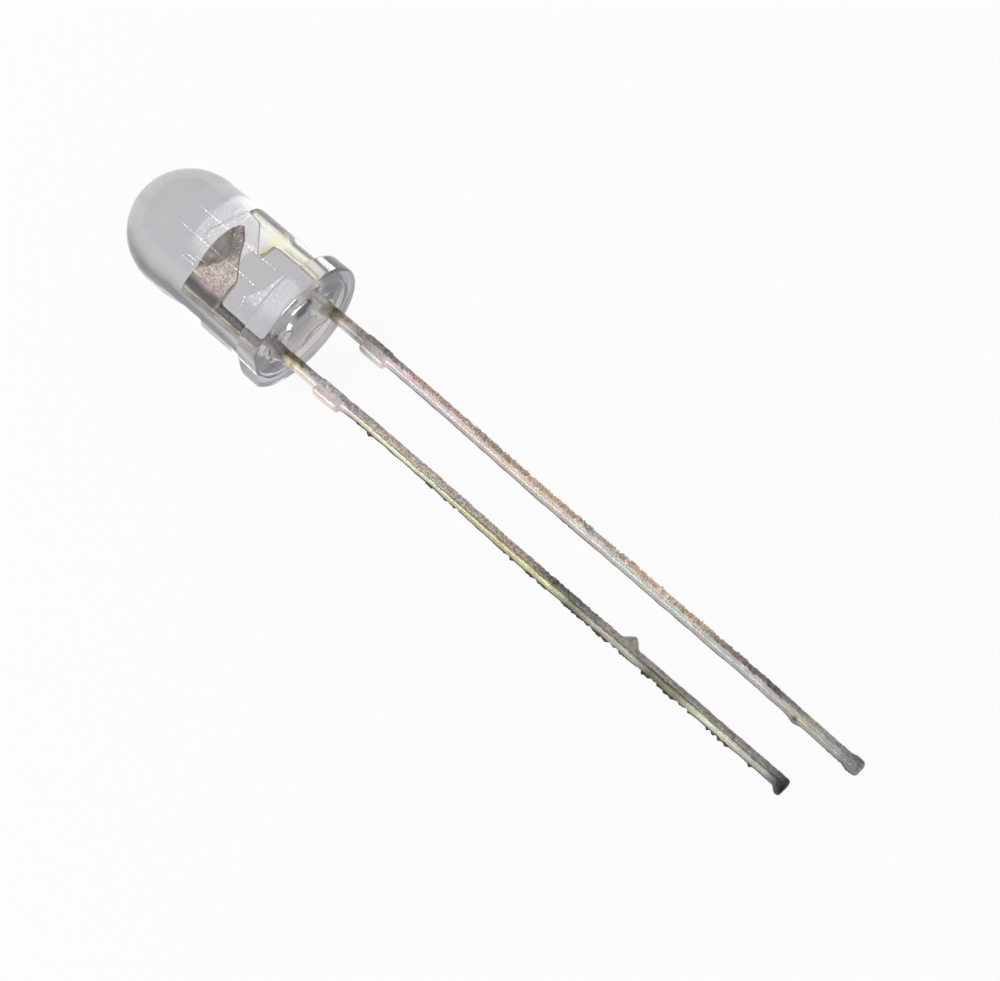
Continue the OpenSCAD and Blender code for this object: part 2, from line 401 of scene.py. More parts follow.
def plated(surface, vector, contrast=1.0):
    """Silver plate under the epoxy: matt crystals with pink, orange and white glints."""
    cells = surface.node("TexVoronoi", None, {
        "Vector": surface.stretched(vector, (24, 24, 28)), "Scale": 1.0}, output=1)
    spark, hue = (surface.node("SeparateColor", None, {0: cells}, output=i) for i in range(2))
    cloud = surface.noise(vector, 2.6)
    depth = (spark * 0.7 + cloud * 1.1 - 0.4) * contrast + (1 - contrast) * 0.55
    colour = surface.ramp(depth, 0, 1, [
        (0, (0.28, 0.25, 0.22)), (0.4, (0.58, 0.50, 0.43)), (0.65, (0.92, 0.81, 0.71)), (1, (1.0, 1.0, 1.0))])
    orange = spark.rise(0.4, 0.6) * hue.rise(0.4, 0.55) * cloud.rise(0.44, 0.58)
    return surface.mix(orange * (0.85 * contrast), colour, (1.0, 0.66, 0.44)), spark


def cathode_paint(surface, vector, x, y, z):
    """Lilac brown grains on the upper half, smooth greenish tin on the lower half."""
    colour, height, above, edge = tin_coat(surface, vector, x, y, z, CATHODE_SPLIT, 0.8, -12.5, [
        (-25.4, (0.05, 0.06, 0.05)), (-25.0, (0.17, 0.19, 0.18)), (-24.4, (0.42, 0.41, 0.41)),
        (-22.0, (0.37, 0.36, 0.33)), (-17.0, (0.50, 0.47, 0.42)), (-15.4, (0.26, 0.25, 0.23)),
        (-14.0, (0.12, 0.12, 0.12)), (-12.8, (0.45, 0.42, 0.37)), (-9.0, (0.66, 0.64, 0.59)),
        (-6.2, (0.77, 0.73, 0.66)), (-3.9, (0.51, 0.52, 0.52)), (-2.6, (0.65, 0.64, 0.60)),
        (-1.5, (0.54, 0.54, 0.56)), (-1.1, (0.28, 0.25, 0.18)), (-0.5, (0.32, 0.28, 0.18)),
        (-0.2, (0.18, 0.15, 0.09)), (0.2, (0.34, 0.32, 0.22))], [
        (-25.4, (0.03, 0.03, 0.03)), (-25.0, (0.13, 0.13, 0.13)), (-24.5, (0.55, 0.56, 0.51)),
        (-21.6, (0.89, 0.97, 0.73)), (-20.4, (0.34, 0.39, 0.24)), (-19.0, (0.22, 0.20, 0.15)),
        (-18.2, (0.56, 0.58, 0.49)), (-16.2, (0.50, 0.52, 0.44)), (-15.2, (0.27, 0.32, 0.22)),
        (-14.0, (0.76, 0.77, 0.49)), (-10.0, (0.66, 0.69, 0.43)), (-6.2, (0.98, 1.00, 0.76)),
        (-3.0, (0.70, 0.67, 0.63)), (-1.3, (0.69, 0.68, 0.60)), (-1.0, (0.78, 0.78, 0.56)),
        (-0.78, (0.46, 0.43, 0.27)), (-0.6, (0.90, 0.90, 0.64)), (-0.35, (0.56, 0.54, 0.36)),
        (-0.15, (0.22, 0.19, 0.11)), (0.2, (0.42, 0.40, 0.28))], [
        (-25.4, (0, 0, 0)), (-15.4, (0, 0, 0)), (-12.6, (0.5, 0.5, 0.5)), (-10.0, (0.3, 0.3, 0.3)),
        (-6.4, (0.4, 0.4, 0.4)), (-5.6, (0.8, 0.8, 0.8)), (-4.6, (0.2, 0.2, 0.2)), (-3.6, (0, 0, 0))])
    divide = edge.within(-1.33, -1.30, 0.04) * z.rise(-3.4, -4.0)
    colour = surface.mix(divide * 0.7, colour, (0.06, 0.05, 0.045))
    # painted shade: a near-black line along the back of the pale side's edge, outside the epoxy
    colour = surface.mix((y + surface.noise(vector, 4.0) * 0.2 - 0.1).rise(-0.08, 0.06) * x.rise(-1.36, -1.42) * z.rise(-3.3, -3.8) * 0.85, colour, (0.06, 0.055, 0.05))
    face, spark = plated(surface, vector)
    rosy = surface.node("VectorMath", {"operation": "DISTANCE"}, {0: vector, 1: (-0.75, -0.2, 3.35)}, output=1)
    face = surface.mix(rosy.rise(0.65, 1.4) * 0.85, face, surface.mix(1.0, face, (0.74, 0.76, 0.78), "MULTIPLY"))
    # painted highlight and shade on the plated front, seen through the epoxy: a pale highlight along the -X edge, then
    # a dark band of painted shade, on the anvil and on the post
    shade = surface.noise(surface.stretched(vector, (1, 1, 0.4)), 3.0) * 0.3 - 0.09
    across = x + shade
    anvil_light_and_shade = surface.ramp(across, -1.5, -0.9, [
        (-1.5, (0.95, 0.92, 0.76)), (-1.40, (0.62, 0.58, 0.46)), (-1.28, (0.24, 0.22, 0.19)),
        (-1.12, (0.17, 0.16, 0.15)), (-0.92, (0.60, 0.52, 0.46))])
    face = surface.mix(across.rise(-0.86, -1.02) * z.rise(2.9, 3.05), face, anvil_light_and_shade)
    post_light_and_shade = surface.ramp(across, -1.5, -1.0, [
        (-1.5, (1.0, 0.97, 0.78)), (-1.40, (0.52, 0.49, 0.38)), (-1.32, (0.22, 0.19, 0.17)),
        (-1.20, (0.32, 0.28, 0.25)), (-1.13, (0.14, 0.12, 0.10)), (-1.08, (0.05, 0.045, 0.04))])
    post_light_and_shade = surface.mix(spark.rise(0.7, 0.9) * 0.4, post_light_and_shade, (1.0, 0.90, 0.70))
    face = surface.mix(z.rise(2.98, 2.8), face, post_light_and_shade)
    cone = y.rise(-0.225, -0.26) * z.rise(3.8, 3.9)
    coined = surface.noise(surface.stretched(vector, (1, 1, 3)), 2.4).rise(0.3, 0.7)
    face = surface.mix(cone, face, surface.mix(coined, (0.66, 0.62, 0.47), (0.96, 0.92, 0.74)))
    # painted highlight: a near-white streak on the right of the cup's cone
    rim_highlight = y.within(-0.27, -0.23, 0.02) * z.rise(3.85, 4.3) * x.rise(0.1, 0.6)
    face = surface.mix(rim_highlight * 0.85, face, (1.0, 1.0, 0.97))
    # the painted highlights and shade stay on the front and the -X side; elsewhere the plate is plain, with faint
    # glints
    facing = surface.node("Math", {"operation": "MAXIMUM"}, {0: y.rise(-0.1, -0.17), 1: x.rise(-1.36, -1.42)})
    face = surface.mix(facing, plated(surface, vector, 0.25)[0], face)
    inside = z.rise(0.0, 0.3)
    rough = 0.46 - inside * 0.1 - cone * 0.1 - above * 0.04
    return surface.mix(inside, colour, face), rough, height


CATHODE_LEN = below_seat("cathode_end")
cathode = punched_strip("cathode_tinned_lead", [
    (-CATHODE_LEN, -LEAD_OUT, -LEAD_IN), (NECK_Z, -LEAD_OUT, -LEAD_IN)]
    + [(height, -LEAD_OUT, edge) for height, edge in ANVIL_EDGE]
    + [(RIM_Z, -LEAD_OUT, CUP_X + CUP_RIM_R)])
cone = new_piece("cup_cone", bpy.ops.mesh.primitive_cone_add, vertices=96, radius1=CONE_FOOT_R,
                 radius2=CUP_RIM_R, depth=CONE_H, location=(CUP_X, 0, RIM_Z - CONE_H / 2))
combine(cathode, cone, "UNION")
combine(cathode, block("cathode_stub", -LEAD_OUT - STUB_OUT, -LEAD_IN + STUB_IN, STUB_LOW, STUB_TOP), "UNION")
bore_top = 0.1
bore_slope = (CUP_RIM_R - CUP_LAND - CUP_FLOOR_R) / CUP_DEPTH
bore = new_piece("cup_bore", bpy.ops.mesh.primitive_cone_add, vertices=96, radius1=CUP_FLOOR_R,
                 radius2=CUP_FLOOR_R + bore_slope * (CUP_DEPTH + bore_top), depth=CUP_DEPTH + bore_top,
                 location=(CUP_X, 0, RIM_Z + (bore_top - CUP_DEPTH) / 2))
combine(cathode, bore, "DIFFERENCE")
dip_in_tin(cathode, CATHODE_SPLIT)

# dross and drops along the lower edge, the lump on the upper edge and the hook at the tip
dross = ((-4.6, 0.5), (-8.0, 0.25), (-9.1, 0.45), (-12.0, 0.4), (-13.5, 0.7), (-15.6, 1.0),
         (-17.2, 1.0), (-19.0, 0.7), (-20.3, 0.9), (-22.4, 0.6))
push(cathode, "NORMAL", 0.3, lambda place: step(place.y, -0.1, 0.12) * step(place.x, -1.3, -1.42) * min(
    1.0, sum(step(abs(place.z - middle), reach, reach * 0.6) for middle, reach in dross)), TIN_DROSS)
for drop in (-21.9, -22.45, -22.75, -23.9):
    push(cathode, "X", -0.09, lambda place: spot(place, (-1.48, 0.18, drop), 0.13))
push(cathode, "X", 0.1, lambda place: step(place.x, -1.22, -1.12) * step(place.z, -6, -9)
     * step(place.z, -18, -15), TIN_EDGE)
push(cathode, "X", 0.32, lambda place: spot(place, (-1.06, -0.1, -17.75), 0.48))
push(cathode, "X", -0.2, lambda place: step(place.z, -24.9, -25.25) * step(place.x, -1.1, -1.45))
push(cathode, "X", 0.08, lambda place: step(place.z, -2.5, -4.5) * step(place.z, -13.0, -7.0))
lay_down(cathode, "cathode_lead", tinned("tinned_cathode", cathode_paint), 80)

# ---------------------------------------------------------------------------------------------
# Anode lead
# Punched from the same sheet, with a wing that locks its post in the epoxy. It is the longer
# lead. Its tin is brown and grainy above, smooth and pale below, and ends in a thickened tip.
# ---------------------------------------------------------------------------------------------
ANODE_SPLIT = 1.25
POST_TOP = 4.78
POST_IN = 1.32
POST_W = 0.34
WING = ((2.93, 0.78, 1.66 - 0.04), (3.04, 0.63, 1.66), (3.13, 0.63, 1.66), (4.1, 1.26, 1.66))
ANODE_LEN = below_seat("anode_end")


def anode_paint(surface, vector, x, y, z):
    """Brown grains with orange glints on the upper half, pale pinkish tin on the lower half."""
    colour, height, above, edge = tin_coat(surface, vector, x, y, z, ANODE_SPLIT, 0.55, -18.5, [
        (-26.9, (0.27, 0.28, 0.28)), (-26.6, (0.23, 0.24, 0.22)), (-26.0, (0.41, 0.42, 0.41)),
        (-24.5, (0.52, 0.51, 0.44)), (-22.8, (0.23, 0.20, 0.19)), (-20.6, (0.40, 0.35, 0.29)),
        (-18.6, (0.65, 0.62, 0.46)), (-16.4, (0.97, 0.82, 0.55)), (-13.8, (0.59, 0.58, 0.50)),
        (-11.5, (0.86, 0.63, 0.43)), (-9.0, (0.50, 0.45, 0.36)), (-5.0, (0.71, 0.59, 0.56)),
        (-3.6, (0.36, 0.34, 0.31)), (-2.6, (0.34, 0.32, 0.28)), (-1.8, (0.49, 0.49, 0.37)),
        (-1.0, (0.62, 0.57, 0.51)), (-0.72, (0.46, 0.34, 0.23)), (-0.45, (0.17, 0.15, 0.09)),
        (-0.28, (0.24, 0.21, 0.13)), (-0.15, (0.60, 0.58, 0.38)), (0.1, (0.34, 0.32, 0.24))], [
        (-26.9, (0.34, 0.31, 0.35)), (-26.5, (0.32, 0.29, 0.33)), (-26.0, (0.51, 0.50, 0.54)),
        (-24.5, (0.59, 0.61, 0.49)), (-22.0, (0.67, 0.70, 0.70)), (-18.0, (0.74, 0.79, 0.71)),
        (-14.0, (0.78, 0.76, 0.73)), (-9.0, (0.84, 0.80, 0.69)), (-5.0, (0.85, 0.78, 0.81)),
        (-3.4, (0.86, 0.78, 0.80)), (-2.6, (0.54, 0.53, 0.51)), (-1.8, (0.32, 0.32, 0.32)),
        (-1.2, (0.68, 0.69, 0.69)), (-0.9, (0.80, 0.76, 0.72)), (-0.7, (0.44, 0.36, 0.24)),
        (-0.4, (0.26, 0.23, 0.14)), (-0.15, (0.68, 0.65, 0.44)), (0.1, (0.36, 0.34, 0.26))], [
        (-26.9, (0, 0, 0)), (-20.4, (0, 0, 0)), (-18.6, (0.7, 0.7, 0.7)), (-16.4, (1, 1, 1)),
        (-15.0, (0.2, 0.2, 0.2)), (-12.6, (0.3, 0.3, 0.3)), (-11.6, (0.9, 0.9, 0.9)),
        (-9.8, (0.4, 0.4, 0.4)), (-6.2, (0.8, 0.8, 0.8)), (-4.8, (0.8, 0.8, 0.8)), (-3.6, (0, 0, 0))])
    # painted shade: a dark line along the back of the pale side's edge, outside the epoxy
    colour = surface.mix((y + surface.noise(vector, 4.0) * 0.2 - 0.1).rise(-0.04, 0.1) * x.rise(1.18, 1.12) * z.rise(-3.3, -3.8) * 0.6, colour, (0.10, 0.09, 0.085))
    dot = surface.node("VectorMath", {"operation": "DISTANCE"}, {0: vector, 1: (1.0, -0.2, -24.0)}, output=1)
    colour = surface.mix(dot.rise(0.2, 0.05) * 0.8, colour, (0.10, 0.08, 0.05))
    cloud = surface.noise(vector, 2.2)
    face = surface.mix(cloud.rise(0.4, 0.65), (1.0, 1.0, 0.93), (1.0, 0.98, 0.72))
    speck = surface.noise(vector, 9.0, 3.0)
    face = surface.mix(speck.rise(0.58, 0.75) * 0.5, face, (0.62, 0.58, 0.42))
    across = x + surface.noise(surface.stretched(vector, (1, 1, 0.3)), 3.0) * 0.1 - 0.05
    # painted highlights and shade: bright and dark stripes down the front of the post
    rolled = surface.ramp(across, 1.06, 1.5, [
        (1.06, (0.96, 0.93, 0.62)), (1.14, (1.0, 1.0, 0.86)), (1.18, (0.55, 0.50, 0.30)), (1.23, (0.92, 0.90, 0.70)),
        (1.34, (1.0, 1.0, 0.84)), (1.45, (0.50, 0.50, 0.38))])
    face = surface.mix(z.rise(2.75, 2.45) * y.rise(-0.1, -0.17), face, rolled)
    # painted shade: a dark strip along the plate's right edge, and a dark corner at the top of the post
    face = surface.mix(across.rise(1.44, 1.56) * z.rise(2.8, 3.4) * 0.9, face, (0.34, 0.32, 0.22))
    face = surface.mix(z.rise(4.5, 4.68) * across.rise(1.56, 1.42) * 0.8, face, (0.16, 0.16, 0.12))
    # painted highlight: a bright yellow band at the foot of the wing
    face = surface.mix(z.rise(3.3, 3.0) * z.rise(2.6, 2.9) * 0.7, face, (1.0, 1.0, 0.66))
    rough = 0.46 - above * 0.04
    return surface.mix(z.rise(0.0, 0.3), colour, face), rough, height


anode = punched_strip("anode_tinned_lead", [
    (-ANODE_LEN, LEAD_IN, LEAD_OUT), (2.7, LEAD_IN, LEAD_OUT), (2.929, 1.04, 1.62)]
    + list(WING) + [(POST_TOP, POST_IN, POST_IN + POST_W)])
combine(anode, block("anode_stub", LEAD_IN - STUB_OUT, LEAD_OUT + STUB_IN, STUB_LOW, STUB_TOP), "UNION")
dip_in_tin(anode, ANODE_SPLIT)
nicks = ((-8.3, 0.2), (-8.8, 0.2), (-12.3, 0.3), (-15.6, 0.4), (-17.45, 0.5), (-18.6, 0.6), (-22.7, 0.5))
push(anode, "X", 0.17, lambda place: step(place.x, 1.32, 1.42) * step(place.z, -4, -8)
     * step(place.z, -24, -20), TIN_EDGE)
push(anode, "NORMAL", 0.16, lambda place: step(place.x, 1.3, 1.42) * (0.3 * step(place.z, -7, -8) * step(place.z, -23, -20) + min(
    0.7, sum(step(abs(place.z - middle), reach, reach * 0.6) for middle, reach in nicks))), TIN_DROSS)
push(anode, "NORMAL", 0.14, lambda place: step(place.y, -0.1, 0.12) * step(place.x, 1.22, 1.12) * (
    step(abs(place.z + 12.8), 0.4, 0.2) + step(abs(place.z + 26.1), 0.8, 0.5)) * 0.9, TIN_DROSS)
push(anode, "X", -0.1, lambda place: spot(place, (1.06, 0.1, -24.0), 0.4))
push(anode, "NORMAL", 0.06, lambda place: step(place.z, -26.3, -26.6))
keep_place(anode.data)
push(anode, "X", -0.25, lambda place: 0.5 * step(place.z, -4.0, -13.0) + 0.1 * step(place.z, -13.0, -21.0)
     + 0.4 * step(place.z, -21.0, -26.9))
lay_down(anode, "anode_lead", tinned("tinned_anode", anode_paint), 80)

# ---------------------------------------------------------------------------------------------
# Die attach
# A dot of silver filled glue at the bottom of the cup. It is dispensed wet, spreads under the
# die and cures with a raised rim around it.
# ---------------------------------------------------------------------------------------------
CUP_FLOOR_Z = RIM_Z - CUP_DEPTH
GLUE_R = 0.26
GLUE_T = 0.03


def rings(name, outline, steps):
    """A turned shape: one circle, extruded ring by ring through (radius, height) points."""
    radius, height = outline[0]
    piece = new_piece(name, bpy.ops.mesh.primitive_circle_add, vertices=steps, radius=radius,
                      fill_type="NGON", location=(0, 0, height))
    edit(piece, "SELECT")
    for wide, high in outline[1:]:
        bpy.ops.mesh.extrude_region_move(TRANSFORM_OT_translate={"value": (0, 0, high - height)})
        bpy.ops.transform.resize(value=(wide / radius, wide / radius, 1), center_override=(0, 0, high))
        radius, height = wide, high
    close_shape()
    return piece


glue = rings("silver_glue", [
    (0.2, CUP_FLOOR_Z), (GLUE_R, CUP_FLOOR_Z + 0.004), (GLUE_R - 0.01, CUP_FLOOR_Z + 0.018),
    (0.23, CUP_FLOOR_Z + 0.03), (0.2, CUP_FLOOR_Z + 0.034), (0.05, CUP_FLOOR_Z + GLUE_T)], 48)
glue.data.transform(Matrix.Translation((CUP_X, 0, 0)))
push(glue, "NORMAL", 0.03, lambda place: step((place.x - CUP_X) ** 2 + place.y ** 2, 0.03, 0.05), TIN_LUMPS)

silver_glue = bpy.data.materials.new("silver_filled_glue")
surface = Surface(silver_glue)
vector, x, y, z = surface.place()
flake = surface.node("SeparateColor", None, {0: surface.node("TexVoronoi", None, {"Vector": vector, "Scale": 60.0}, output=1)})
surface.node("OutputMaterial", None, {"Surface": surface.node("BsdfPrincipled", None, {
    "Base Color": surface.mix(flake, (0.45, 0.45, 0.46), (0.78, 0.78, 0.80)), "Metallic": 0.6,
    "Roughness": flake * 0.3 + 0.3, "Normal": surface.bump(flake, 0.4, 0.004 * MM)})})
lay_down(glue, "die_attach", silver_glue)

# ---------------------------------------------------------------------------------------------
# Die
# A sawn square of semiconductor crystal, dark and glassy, with a mesa etched on top and a round
# gold pad in its middle.
# ---------------------------------------------------------------------------------------------
DIE_W = 0.3
DIE_H = 0.18
PAD_R = 0.055
die_z = CUP_FLOOR_Z + GLUE_T
die = new_piece("crystal_die", bpy.ops.mesh.primitive_cube_add, size=1, location=(CUP_X, 0, die_z + DIE_H / 2))
edit(die, "SELECT")
bpy.ops.transform.resize(value=(DIE_W, DIE_W, DIE_H), center_override=(CUP_X, 0, die_z + DIE_H / 2))
bpy.ops.mesh.select_mode(type="FACE")
pick(die, lambda place: place.z > die_z + DIE_H / 2)
bpy.ops.mesh.inset(thickness=0.02, depth=0)
bpy.ops.transform.translate(value=(0, 0, 0.006))
bpy.ops.mesh.inset(thickness=0.004, depth=0)
bpy.ops.mesh.select_mode(type="VERT")
close_shape()
apply(die, "BEVEL", width=0.004, segments=2, limit_method="ANGLE")

crystal = bpy.data.materials.new("die_crystal")
surface = Surface(crystal)
vector, x, y, z = surface.place()
centre = surface.node("VectorMath", {"operation": "DISTANCE"}, {0: vector, 1: (CUP_X, 0, die_z + DIE_H + 0.006)}, output=1)
pad = centre.rise(PAD_R + 0.003, PAD_R - 0.003)
sawn = surface.noise(surface.stretched(vector, (4, 4, 60)), 4.0)
surface.node("OutputMaterial", None, {"Surface": surface.node("BsdfPrincipled", None, {
    "Base Color": surface.mix(pad, surface.mix(sawn, (0.10, 0.09, 0.11), (0.20, 0.18, 0.20)), (0.95, 0.72, 0.34)),
    "Metallic": pad, "Roughness": 0.3 - pad * 0.1, "IOR": 2.4, "Normal": surface.bump(sawn, 0.3, 0.004 * MM)})})
lay_down(die, "led_die", crystal)

# ---------------------------------------------------------------------------------------------
# Bond wire
# A gold wire, thinner than a hair. Its end is melted into a ball and pressed on the die's pad;
# it then rises, loops over and is stitched flat onto the top of the anode post.
# ---------------------------------------------------------------------------------------------
WIRE_R = 0.0125
BALL_R = 0.05
LOOP_R = 0.25
LOOP_FALL = math.radians(25)
pad_z = die_z + DIE_H
stitch_x = POST_IN + POST_W / 2
run = stitch_x - CUP_X - LOOP_R * (1 + math.sin(LOOP_FALL))
loop_z = POST_TOP + run * math.tan(LOOP_FALL) - LOOP_R * math.cos(LOOP_FALL)
route = [(CUP_X, pad_z + 0.02), (CUP_X, (pad_z + loop_z) / 2), (CUP_X, loop_z)]
for part in range(1, 13):
    turn = (math.pi / 2 + LOOP_FALL) * part / 12
    route.append((CUP_X + LOOP_R * (1 - math.cos(turn)), loop_z + LOOP_R * math.sin(turn)))
bend_end = route[-1]
for part in range(1, 7):
    share = part / 6
    sag = 0.02 * math.sin(share * math.pi)
    route.append((bend_end[0] + (stitch_x - bend_end[0]) * share, bend_end[1] + (POST_TOP + 0.01 - bend_end[1]) * share - sag))

bpy.ops.object.select_all(action="DESELECT")
bpy.ops.curve.primitive_nurbs_path_add()
wire = bpy.context.object
wire.name = "gold_bond_wire"
spline = wire.data.splines[0]
spline.points.add(len(route) - len(spline.points))
for point, (across, high) in zip(spline.points, route):
    point.co = (across, 0, high, 1)
spline.use_endpoint_u = True
wire.data.bevel_depth = WIRE_R
wire.data.bevel_resolution = 3
wire.data.resolution_u = 4
wire.data.use_fill_caps = True
bpy.ops.object.convert(target="MESH")
bpy.ops.object.transform_apply()
ball = new_piece("wire_ball", bpy.ops.mesh.primitive_uv_sphere_add, segments=24, ring_count=12, radius=BALL_R, location=(CUP_X, 0, pad_z + 0.018))
edit(ball, "SELECT")
bpy.ops.transform.resize(value=(1, 1, 0.42), center_override=(CUP_X, 0, pad_z + 0.018))
bpy.ops.object.mode_set(mode="OBJECT")
stitch = new_piece("wire_stitch", bpy.ops.mesh.primitive_uv_sphere_add, segments=24, ring_count=12, radius=BALL_R, location=(stitch_x, 0, POST_TOP + 0.004))
edit(stitch, "SELECT")
bpy.ops.transform.resize(value=(1.1, 0.8, 0.25), center_override=(stitch_x, 0, POST_TOP + 0.004))
bpy.ops.object.mode_set(mode="OBJECT")
for part in (ball, stitch):
    combine(wire, part, "UNION")

gold = bpy.data.materials.new("bond_gold")
surface = Surface(gold)
vector, x, y, z = surface.place()
drawn = surface.noise(vector, 40.0)
surface.node("OutputMaterial", None, {"Surface": surface.node("BsdfPrincipled", None, {
    "Base Color": surface.mix(drawn, (1.0, 0.90, 0.68), (1.0, 0.95, 0.80)), "Metallic": 0.5,
    "Roughness": drawn * 0.2 + 0.4})})
lay_down(wire, "bond_wire", gold)

# ---------------------------------------------------------------------------------------------
# Lens body
# One casting of clear epoxy, poured dome down into a polished mould around the finished lead
# frame. The mould gives the dome, the barrel and the flange with its flat on the cathode side;
# the underside is the epoxy's own skin, slightly hollow.
# ---------------------------------------------------------------------------------------------
LENS_R = 2.5
DOME_Z = FLANGE_T + BARREL_LEN
FLANGE_R = 2.9
TOP_ROUND = 0.2
LOW_ROUND = 0.12
FLAT_X = 2.58
RIM_W = 0.36
HOLLOW = 0.12
EPOXY_IOR = 1.53
EPOXY_TINT = (0.56, 0.56, 0.575, 1)


def arc(r, z, radius, start, stop, steps):
    """Points (radius, height) on an arc of a turned outline, angles in degrees from outwards."""
    angles = [math.radians(start + (stop - start) * i / steps) for i in range(steps + 1)]
    return [(r + radius * math.cos(a), z + radius * math.sin(a)) for a in angles]


rim_in = FLANGE_R - LOW_ROUND - RIM_W
outline = [(rim_in * (0.02 + 0.9 * k / 30), HOLLOW) for k in range(31)]
outline += arc(rim_in - HOLLOW, 0.0, HOLLOW, 90, 0, 6)
outline += arc(FLANGE_R - LOW_ROUND, LOW_ROUND, LOW_ROUND, -90, 0, 6)
outline += arc(FLANGE_R - TOP_ROUND, FLANGE_T - TOP_ROUND, TOP_ROUND, 0, 90, 8)
outline += arc(LENS_R + 0.06, FLANGE_T + 0.06, 0.06, 270, 180, 4)
outline += [(LENS_R, FLANGE_T + BARREL_LEN * k / 6) for k in range(1, 6)]
outline += arc(0, DOME_Z, LENS_R, 0, 89.5, 45)
lens = rings("lens_epoxy", outline, 160)
edit(lens, "SELECT")
bpy.ops.mesh.bisect(plane_co=(-FLAT_X, 0, 0), plane_no=(-1, 0, 0), use_fill=True, clear_outer=True)
close_shape()

MENISCUS = 0.36
MENISCUS_REACH = 0.42


def beside_lead(place):
    """1 at a lead's sides, falling to 0 at the reach of the climbing epoxy, on the underside only."""
    aside = max(abs(abs(place.x) - LEAD_X) - LEAD_W / 2, 0.0)
    off = math.hypot(aside, max(abs(place.y) - SHEET_T / 2, 0.0))
    return max(1 - off / MENISCUS_REACH, 0.0) ** 2 * step(place.z, 0.3, 0.2)


push(lens, "Z", -MENISCUS, beside_lead)
push(lens, "Z", 0.15, lambda place: step(math.hypot(place.x, place.y), 2.3, 1.9) * step(place.z, 0.3, 0.2),
     relief("skin_waves", 1.1, 0))

for root_x in (-0.75, 0.68):
    push(lens, "Z", 0.16, lambda place: spot(place, (root_x, -0.33, 0.12), 0.36) * step(place.z, 0.35, 0.3))

epoxy = bpy.data.materials.new("clear_epoxy")
surface = Surface(epoxy)
vector, x, y, z = surface.place()
smudge = surface.noise(vector, 0.9).rise(0.55, 0.8) * surface.noise(vector, 5.0, 4.0).rise(0.45, 0.7)
haze = z.rise(1.15, 0.9) * 0.2 + smudge * 0.10 + 0.03
swirl = surface.noise(vector, 2.6, 1.0) * 0.4 - 0.2
# painted reflections: dark patches in the underside's tint that stand in for the dark surroundings it mirrors; the haze
# is cleared there
dark_reflection_patches = 0
for centre, core, reach, depth in (((0.25, -1.3, 0.12), 0.35, 0.6, 0.97), ((-1.0, -1.22, 0.12), 0.2, 0.45, 0.97),
                                   ((0.1, -0.5, 0.12), 0.2, 0.9, 0.55), ((-1.95, -0.89, 0.12), 0.04, 0.2, 0.8),
                                   ((0.97, -1.84, 0.12), 0.04, 0.2, 0.7)):
    far = surface.node("VectorMath", {"operation": "DISTANCE"}, {0: vector, 1: centre}, output=1) + swirl
    dark_reflection_patches = far.rise(reach, core) * depth + dark_reflection_patches
# painted light: a paler, creamier tint on the lower part of the underside
pale = surface.node("Math", {"operation": "MAXIMUM"}, {0: y.rise(-0.4, 0.4), 1: x.rise(-1.4, -1.8)})
pale = surface.mix(pale * z.rise(0.3, 0.2) * (x * x + y * y).rise(6.2, 4.8), EPOXY_TINT[:3], (0.90, 0.87, 0.74))
tint = surface.mix(dark_reflection_patches, pale, (0.004, 0.004, 0.006))
haze = haze * surface.node("Math", {"operation": "SUBTRACT", "use_clamp": True}, {0: 1.0, 1: dark_reflection_patches})
clear = surface.node("BsdfPrincipled", None, {
    "Base Color": tint, "Roughness": 0.0, "IOR": EPOXY_IOR, "Transmission Weight": 1.0})
milky = surface.node("BsdfPrincipled", None, {
    "Base Color": (0.75, 0.73, 0.80, 1), "Roughness": 0.25, "IOR": EPOXY_IOR})
surface.node("OutputMaterial", None, {"Surface": surface.node("MixShader", None, {0: haze, 1: clear, 2: milky})})
lay_down(lens, "lens_body", epoxy)

# ---------------------------------------------------------------------------------------------
# Table and light
# The table is white board, with a painted shadow behind the LED that only rays through the epoxy
# see. A soft box stands on the cathode side and lights the metal, a window lights the table, and
# rows of small lamps draw the dashed glints on the epoxy.
# ---------------------------------------------------------------------------------------------
BOARD_WHITE = (0.93, 0.93, 0.93, 1)
BOARD_GLOW = 0.93
PAINTED_SHADOW_DEPTH = 0.74
DOME_END = -17.5

board_paint = bpy.data.materials.new("white_board")
surface = Surface(board_paint)
seen, mirrored, through = (surface.node("LightPath", output=ray) for ray in (0, 3, 6))
spot_on_board = surface.node("TexCoord", output=3)
across, behind = (surface.node("SeparateXYZ", None, {"Vector": spot_on_board}, output=i) for i in range(2))
# painted shadow on the table behind and beside the LED, which only rays through the epoxy see; to the camera the board
# stays evenly white
past_dome = surface.node("Math", {"operation": "MAXIMUM"}, {0: DOME_END - across * (1 / MM), 1: 0.0})
painted_shadow = (behind * (1 / MM) - past_dome * 2).rise(1.6, 4.6)
shown = surface.node("Math", {"use_clamp": True}, {0: seen + mirrored, 1: through})
matt = surface.node("BsdfDiffuse", None, {"Color": BOARD_WHITE})
glow = surface.node("Emission", None, {"Color": surface.grey(1 - painted_shadow * through * PAINTED_SHADOW_DEPTH)})
surface.node("OutputMaterial", None, {"Surface": surface.node(
    "MixShader", None, {0: shown * BOARD_GLOW, 1: matt, 2: glow})})
board = new_piece("white_board_table", bpy.ops.mesh.primitive_plane_add, size=2.0)
board.data.materials.append(board_paint)

world = bpy.data.worlds.new("studio")
bpy.context.scene.world = world
sky = Surface(world)
height = sky.node("SeparateXYZ", None, {"Vector": sky.node("TexCoord", output=0)}, output=2)
sky_colour = sky.mix(height.rise(0.08, 0.30), (1.0, 1.0, 1.0), (0.40, 0.39, 0.43))
sky.node("OutputWorld", None, {"Surface": sky.node("Background", None, {"Color": sky_colour, "Strength": 1.0})})


